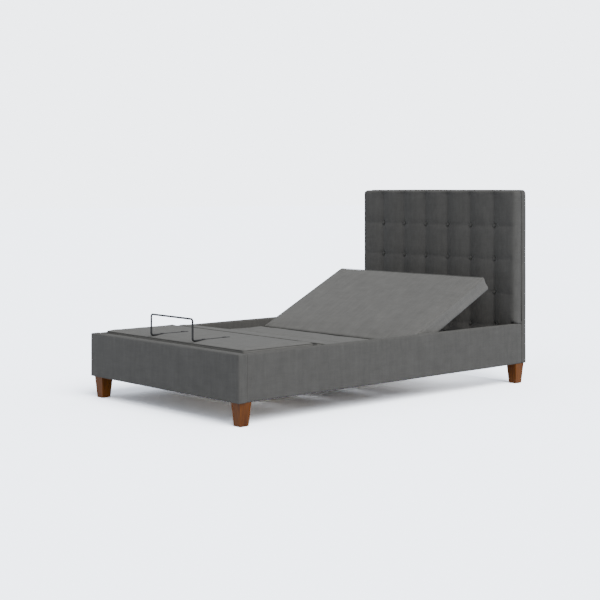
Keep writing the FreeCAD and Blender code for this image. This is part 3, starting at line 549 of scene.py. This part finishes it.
FRAME_BODY = "bed_frame"
BOARD_PROUD = 0.0009
PANEL_CELL = 0.014
RAIL_ROUND = 0.009
RAIL_CROWN = (0.0025, 0.0, 0.0015)
RAIL_WAVE = (0.11, 0.0010)
FOOT_ROUND = 0.006
FOOT_CROWN = (0.0012, 0.003, 0.0018)
FOOT_WAVE = (0.11, 0.0011)
SLAB_ROUND = 0.008
SLAB_CELL = 0.016
SLAB_CROWN = (0.0008, 0.0015, 0.001)
SLAB_WAVE = (0.12, 0.0009)
WELT_R = 0.0016
HEM_TOP = 0.078
HEM_BOTTOM = 0.045
HEM_TURN = 0.006
HEM_END = 0.004
HEM_THICK = 0.0012
HEM_CELL = 0.02
HEM_WAVE = (0.05, 0.0004)
HEM_STAPLE = 0.012
STAPLE_STEP = 0.058
STAPLE_HALF = 0.0055
STAPLE_WIRE = 0.0006
STAPLE_UNEVEN = 0.002
BACK_WELT_INSET = 0.011
BACK_WELT_CORNER = 0.02
CORNER_POWER = 5


def make_rails():
    for side in ("left", "right"):
        node = "side_rail_" + side
        low, high = [Vector(corner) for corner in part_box(node)]
        inward = -1 if side == "right" else 1
        if side == "right":
            low.x += BOARD_PROUD
        else:
            high.x -= BOARD_PROUD
        rail = soft_box(node + "_cover", low, high, RAIL_ROUND, PANEL_CELL, RAIL_CROWN,
                        wave=RAIL_WAVE, seed=3 if side == "left" else 5, stretch=(1, 0.35, 1))
        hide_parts(node)
        dress(rail, "surround_fabric", FRAME_BODY)
        face = high.x if side == "left" else low.x
        make_hem(node, (face, low.y, low.z), (face, high.y, high.z), inward)


def make_foot_panel():
    low, high = [Vector(corner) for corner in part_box("foot_panel")]
    rail_low, rail_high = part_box("side_rail_right")
    high.y -= BOARD_PROUD
    panel = soft_box("foot_panel_cover", low, high, FOOT_ROUND, PANEL_CELL, FOOT_CROWN,
                     wave=FOOT_WAVE, seed=8, stretch=(0.35, 1, 1))
    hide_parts("foot_panel")
    dress(panel, "surround_fabric", FRAME_BODY)
    inner = rail_low[0] - 0.003
    make_hem("foot_panel", (-inner, high.y, low.z), (inner, high.y, high.z), 1)


def make_hem(name, low, high, inward):
    """The cover's turned-in edges, stapled to a panel's inner face along its top and bottom."""
    along = 0 if high[0] - low[0] > 0.01 else 1
    across = 1 - along
    face = low[across] + inward * BOARD_PROUD
    ends = (low[along] + HEM_END, high[along] - HEM_END)
    staples = []
    for edge, depth in (("top", HEM_TOP), ("bottom", HEM_BOTTOM)):
        if edge == "top":
            z = (high[2] - depth, high[2] - HEM_TURN)
            staple_z = high[2] - depth + HEM_STAPLE
        else:
            z = (low[2] + HEM_TURN, low[2] + depth)
            staple_z = low[2] + depth - HEM_STAPLE
        corners = np.zeros((2, 3))
        corners[:, along] = ends
        corners[:, across] = sorted((face, face + inward * HEM_THICK))
        corners[:, 2] = z
        hem = soft_box(name + "_hem_" + edge, corners[0], corners[1], HEM_THICK * 0.42, HEM_CELL, (0, 0, 0),
                       wave=HEM_WAVE, seed=31)
        dress(hem, "surround_fabric", FRAME_BODY)
        count = round((ends[1] - ends[0]) / STAPLE_STEP)
        for k in range(count):
            place = np.zeros(3)
            place[along] = ends[0] + (k + 0.5) * (ends[1] - ends[0]) / count
            place[across] = face + inward * HEM_THICK
            place[2] = staple_z + STAPLE_UNEVEN * math.sin(5.3 * k)
            half = np.full(3, STAPLE_WIRE)
            half[along] = STAPLE_HALF
            staples.append((place - half, place + half))
    wires = joined_boxes(name + "_staples", staples, 0.0004)
    dress(wires, "zinc_steel", FRAME_BODY)


def joined_boxes(name, pairs, radius):
    """Many small rounded boxes as one mesh."""
    points = []
    faces = []
    for low, high in pairs:
        new_points, normals, new_faces = rounded_grid(low, high, radius, 0.02)
        faces += [[n + len(points) for n in face] for face in new_faces]
        points += [tuple(p) for p in new_points]
    return new_object(name, points, faces)


def soften_corners(piece, half_width, top):
    """Draw the upper corners of an upright panel, seen from the front, in to a radius."""
    points = mesh_points(piece.data)
    reach = 3 * CORNER_ROUND
    across = np.clip((np.abs(points[:, 0]) - (half_width - reach)) / reach, 0, None)
    up = np.clip((points[:, 2] - (top - reach)) / reach, 0, None)
    power = (across ** CORNER_POWER + up ** CORNER_POWER) ** (1 / CORNER_POWER)
    share = np.where((across > 0) & (up > 0), np.maximum(across, up) / np.maximum(power, 1e-9), 1.0)
    points[:, 0] -= np.sign(points[:, 0]) * across * reach * (1 - share)
    points[:, 2] -= up * reach * (1 - share)
    piece.data.vertices.foreach_set("co", points.ravel())
    piece.data.update()


def make_headboard_back():
    low, high = [Vector(corner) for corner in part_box("headboard_frame")]
    slab = soft_box("headboard_back_cover", low, high, SLAB_ROUND, SLAB_CELL, SLAB_CROWN,
                    wave=SLAB_WAVE, seed=11, stretch=(0.6, 1, 0.6))
    soften_corners(slab, high.x, high.z)
    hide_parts("headboard_frame")
    dress(slab, "surround_fabric", FRAME_BODY)
    inset = BACK_WELT_INSET
    y = high.y - 0.0002
    corners = [(low.x + inset, y, low.z + inset), (high.x - inset, y, low.z + inset),
               (high.x - inset, y, high.z - inset), (low.x + inset, y, high.z - inset)]
    piping = welt("headboard_back_welt", corners, WELT_R, BACK_WELT_CORNER)
    soften_corners(piping, high.x, high.z)
    dress(piping, "surround_fabric", FRAME_BODY)


# ---- headboard pad ------------------------------------------------------------------------------

PAD_CELL = 0.0075
PAD_ROLL = 0.022
TOP_TIGHT = 2.4
CORNER_ROUND = 0.016
PAD_TUCK = 0.010
PUFF = 0.0190
COLUMN_HALF = 0.0915
PLEAT_SHARE = 0.20
PLEAT_ROLL = 0.016
DIMPLE = 0.0105
DIMPLE_ROLL = 0.017
DIMPLE_POWER = 1.3
CREASE = 0.0011
CREASE_REACH = 0.03
CREASE_FOLDS = 4
SEAM_REACH = 0.006
EDGE_FADE = 0.05
EDGE_SEWN = 0.004
PAD_PRESSURE = 4.0
PAD_CAP = 0.006
BUTTON_APART = 0.05


def button_centres():
    """Centres (x, z) of the separate buttons, from their node's points."""
    points = node_points("headboard_buttons")
    centres = []
    left = points[:, [0, 2]]
    while len(left):
        near = np.linalg.norm(left - left[0], axis=1) < BUTTON_APART
        centres.append((left[near].min(0) + left[near].max(0)) / 2)
        left = left[~near]
    return np.array(centres)


def seam_lines(values):
    """The distinct values among the buttons' places, in order."""
    lines = []
    for value in sorted(values):
        if not lines or value - lines[-1] > BUTTON_APART:
            lines.append(value)
    return np.array(lines)


def make_headboard_pad():
    low, high = [Vector(corner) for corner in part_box("headboard_pad")]
    rail_low, rail_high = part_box("side_rail_right")
    notch_x = rail_low[0] - 0.004
    notch_z = rail_high[2] + 0.001
    centres = button_centres()
    seams_x = seam_lines(centres[:, 0])
    seams_z = seam_lines(centres[:, 1])
    xs = grid_with(low.x, high.x, PAD_CELL, [-notch_x, notch_x])
    zs = grid_with(low.z, high.z, PAD_CELL, [notch_z])
    back = high.y

    def edge_distance(x, z):
        inside = min(high.x - abs(x), TOP_TIGHT * (high.z - z), z - low.z)
        if z < notch_z:
            return min(inside, notch_x - abs(x))
        if abs(x) > notch_x:
            return min(inside, z - notch_z)
        return min(inside, math.hypot(notch_x - abs(x), z - notch_z))

    def sink(x, z):
        """How far the cover lies behind the pad's front, and how firmly it is sewn there."""
        dx = np.abs(seams_x - x).min()
        dz = np.abs(seams_z - z).min()
        near = np.hypot(centres[:, 0] - x, centres[:, 1] - z)
        closest = near.min()
        button = centres[near.argmin()]
        angle = math.atan2(z - button[1], x - button[0])
        across = min(dx / COLUMN_HALF, 1.0)
        column = 1 - (1 - across) ** 2
        pleat = 1 - PLEAT_SHARE * math.exp(-dz / PLEAT_ROLL)
        dimple = math.exp(-(closest / DIMPLE_ROLL) ** DIMPLE_POWER)
        folds = math.cos(CREASE_FOLDS * angle + 0.6 * math.sin(button[0] * 40))
        crease = CREASE * folds * math.exp(-closest / CREASE_REACH)
        depth = PUFF * (1 - column * pleat) + DIMPLE * dimple + crease
        along_seam = math.exp(-(dx / SEAM_REACH) ** 2)
        along_pleat = 0.5 * math.exp(-(dz / SEAM_REACH) ** 2)
        sewn = max(along_seam, along_pleat, dimple ** 2)
        return depth, sewn

    index = {}
    vertices = []
    hold = []
    for i, x in enumerate(xs):
        for j, z in enumerate(zs):
            if z < notch_z - 1e-6 and abs(x) > notch_x + 1e-6:
                continue
            d = edge_distance(x, z)
            roll = PAD_ROLL - math.sqrt(max(0.0, PAD_ROLL ** 2 - (PAD_ROLL - min(d, PAD_ROLL)) ** 2))
            depth, sewn = sink(x, z)
            fade = min(1.0, d / EDGE_FADE) ** 0.6
            index[(i, j)] = len(vertices)
            vertices.append((x, min(low.y + roll + depth * fade, back - 0.004), z))
            hold.append(1.0 if d < EDGE_SEWN else sewn)
    faces = []
    for i in range(len(xs) - 1):
        for j in range(len(zs) - 1):
            ring = [index.get(key) for key in ((i, j), (i + 1, j), (i + 1, j + 1), (i, j + 1))]
            if None not in ring:
                faces.append(ring)

    def outward(x, z):
        if z > high.z - 1e-6:
            return (0, 1)
        if z < low.z + 1e-6:
            return (0, -1)
        if z < notch_z + 1e-6 and abs(x) > notch_x + 1e-6:
            return (0, -1)
        return (math.copysign(1, x), 0)

    close_back(vertices, faces, back, steps=5, outward=outward)
    hold += [1.0] * (len(vertices) - len(hold))
    pad = new_object("headboard_tufted_pad", vertices, faces)
    soften_corners(pad, high.x, high.z)
    inflate(pad, np.array(hold), PAD_PRESSURE, PAD_CAP)
    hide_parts("headboard_pad")
    dress(pad, "surround_fabric", FRAME_BODY)


def grid_with(low, high, cell, extra):
    """Even places from low to high that also pass through the extra ones."""
    stops = sorted([low, high] + list(extra))
    places = []
    for a, b in zip(stops, stops[1:]):
        count = max(1, round((b - a) / cell))
        places += [a + (b - a) * k / count for k in range(count)]
    return np.array(places + [stops[-1]])


def close_back(vertices, faces, back, steps, outward):
    """Carry the open rim of a front sheet to y = back, turned in along its back edge, and close it.

    outward gives the direction (x, z) that points out of the sheet at a place on its rim.
    """
    uses = {}
    for face in faces:
        for a, b in zip(face, face[1:] + face[:1]):
            uses[(a, b)] = True
    follow = {b: a for a, b in uses if (b, a) not in uses}
    start = next(iter(follow))
    loop = [start]
    while follow[loop[-1]] != start:
        loop.append(follow[loop[-1]])
    places = [0.25, 0.5, 0.7] + [0.7 + 0.3 * k / steps for k in range(1, steps + 1)]
    previous = loop
    for share in places:
        ring = []
        for n in loop:
            x, y, z = vertices[n]
            place = y + (back - y) * share
            past = max(0.0, PAD_TUCK - (back - place))
            turn = PAD_TUCK - math.sqrt(max(0.0, PAD_TUCK ** 2 - past ** 2))
            ox, oz = outward(x, z)
            ring.append(len(vertices))
            vertices.append((x - ox * turn, place, z - oz * turn))
        for k in range(len(loop)):
            m = (k + 1) % len(loop)
            faces.append([previous[k], previous[m], ring[m], ring[k]])
        previous = ring
    faces.append(previous)


# ---- deck ---------------------------------------------------------------------------------------

DECK_INSET = 0.001
DECK_ROUND = 0.013
DECK_CELL = 0.012
DECK_CROWN = (0.0022, 0.0010, 0.0030)
DECK_WAVE = (0.10, 0.0011)
DECK_WELT_CORNER = 0.012
LIP_WIDTH = 0.025
LIP_WALL = 0.0015
LIP_COVER = 0.005
DECK_PRESSURE = 4.0
DECK_CAP = 0.005


def deck_cover(name, turn, free_end, seed):
    """A section's cover with its filling, hollow underneath where the board is let in."""
    pad_low, pad_high = flat_box("deck_" + name + "_pad", turn)
    wood_low, wood_high = flat_box("deck_" + name + "_board", turn)
    low = pad_low + Vector((DECK_INSET, DECK_INSET, 0))
    high = pad_high - Vector((DECK_INSET, DECK_INSET, DECK_INSET))
    low.z = wood_low.z - LIP_COVER
    under = pad_low.z + BOARD_PROUD
    hollow = high.x - LIP_WIDTH
    ends = [low.y - 1, high.y + 1]
    stops_y = []
    if free_end < 0:
        ends[0] = low.y + LIP_WIDTH
        stops_y = [ends[0], ends[0] + LIP_WALL]
    elif free_end > 0:
        ends[1] = high.y - LIP_WIDTH
        stops_y = [ends[1] - LIP_WALL, ends[1]]
    stops = ((-hollow, -hollow + LIP_WALL, hollow - LIP_WALL, hollow), stops_y, ())
    points, normals, faces = rounded_grid(low, high, DECK_ROUND, DECK_CELL, stops)
    inside = (np.abs(points[:, 0]) < hollow - LIP_WALL / 2) & (points[:, 1] > ends[0] + LIP_WALL / 2)
    inside &= points[:, 1] < ends[1] - LIP_WALL / 2
    reach = high.z - low.z - 2 * DECK_ROUND
    share = np.clip(1 - (points[:, 2] - low.z) / reach, 0, 1)
    flat_under = inside & (points[:, 2] < low.z + DECK_ROUND)
    points = bulge(points, normals, low, high, DECK_CROWN)
    points = ripple(points, normals, *DECK_WAVE, seed, (0.7, 1, 1))
    points[inside, 2] += ((under - low.z) * share)[inside]
    lowest = inside & (normals[:, 2] < -0.99)
    points[lowest, 2] = under
    cover = new_object("deck_" + name + "_cover", points, faces)
    hold = np.clip(1.4 - (points[:, 2] - low.z) / 0.03, 0, 1)
    hold[flat_under] = 1.0
    inflate(cover, hold, DECK_PRESSURE, DECK_CAP)
    return cover, low, high


def make_deck():
    still = Matrix.Identity(4)
    sections = (("head", "head_section", pivot_turn("head_lift"), 1), ("seat", FRAME_BODY, still, 0),
                ("thigh", "thigh_section", pivot_turn("leg_lift"), 0), ("calf", "calf_section", still, -1))
    for seed, (name, body, turn, free_end) in enumerate(sections):
        cover, low, high = deck_cover(name, turn, free_end, 20 + seed)
        add_box_uv(cover)
        moved(cover, turn)
        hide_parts("deck_" + name + "_pad")
        dress(cover, "deck_fabric", body)
        inset = DECK_ROUND * 0.42
        z = high.z - inset + WELT_R * 0.3
        corners = [(low.x + inset, low.y + inset, z), (high.x - inset, low.y + inset, z),
                   (high.x - inset, high.y - inset, z), (low.x + inset, high.y - inset, z)]
        piping = moved(welt("deck_" + name + "_welt", corners, WELT_R, DECK_WELT_CORNER), turn)
        dress(piping, "deck_fabric", body)


# ---- stage --------------------------------------------------------------------------------------

FLOOR_SIZE = 60.0
FLOOR_PALE = (0.760, 0.793, 0.853)
FLOOR_SEEN = 4.2
WORLD_LIGHT = 0.53
WORLD_SEEN = 4.45
KEY_SUN = 3.3
KEY_FROM = (0.66, -0.15, 0.735)
KEY_SPREAD = 50
CAMERA_AT = (5.410, -5.029, 1.141)
CAMERA_HEADING = 47.834
CAMERA_LENS = 77.85
CAMERA_SHIFT = -0.1848
CAMERA_SENSOR = 36.0


def only_camera(tree):
    """1 on what the camera looks at directly and 0 on the light that falls on the object."""
    return tree.nodes.new("ShaderNodeLightPath").outputs["Is Camera Ray"]


def make_stage():
    size = FLOOR_SIZE
    floor = new_object("floor", [(-size, -size, 0), (size, -size, 0), (size, size, 0), (-size, size, 0)],
                       [[0, 1, 2, 3]], smooth=False)
    s = Shader("studio floor")
    s.set(Base_Color=(*FLOOR_PALE, 1.0), Roughness=1.0, Specular_IOR_Level=0.0)
    bright = s.add("ShaderNodeBsdfDiffuse")
    bright.inputs["Color"].default_value = (*[FLOOR_SEEN * c for c in FLOOR_PALE], 1.0)
    both = s.add("ShaderNodeMixShader")
    s.link(only_camera(s.tree), both.inputs[0])
    s.link(s.bsdf.outputs[0], both.inputs[1])
    s.link(bright.outputs[0], both.inputs[2])
    s.link(both.outputs[0], s.tree.nodes["Material Output"].inputs["Surface"])
    floor.data.materials.append(s.material)

    world = bpy.data.worlds.new("studio")
    world.use_nodes = True
    tree = world.node_tree
    background = tree.nodes["Background"]
    background.inputs["Color"].default_value = (0.90, 0.94, 1.0, 1.0)
    strength = tree.nodes.new("ShaderNodeMapRange")
    strength.inputs["To Min"].default_value = WORLD_LIGHT
    strength.inputs["To Max"].default_value = WORLD_SEEN
    tree.links.new(only_camera(tree), strength.inputs["Value"])
    tree.links.new(strength.outputs["Result"], background.inputs["Strength"])
    bpy.context.scene.world = world

    add_sun("key", KEY_FROM, KEY_SUN, KEY_SPREAD)


def add_sun(name, towards, strength, spread):
    """A broad, even light from the direction towards, spread in degrees."""
    light = bpy.data.lights.new(name, "SUN")
    light.energy = strength
    light.angle = math.radians(spread)
    lamp = bpy.data.objects.new(name, light)
    lamp.rotation_euler = Vector(towards).to_track_quat("Z", "Y").to_euler()
    bpy.context.scene.collection.objects.link(lamp)


def make_camera():
    camera = bpy.data.cameras.new("camera")
    camera.sensor_width = CAMERA_SENSOR
    camera.lens = CAMERA_LENS
    camera.shift_y = CAMERA_SHIFT
    view = bpy.data.objects.new("camera", camera)
    view.location = CAMERA_AT
    view.rotation_euler = (math.radians(90), 0, math.radians(CAMERA_HEADING))
    bpy.context.scene.collection.objects.link(view)
    bpy.context.scene.camera = view


make_camera()
dress_cad_nodes()
make_rails()
make_foot_panel()
make_headboard_back()
make_headboard_pad()
make_deck()
make_stage()
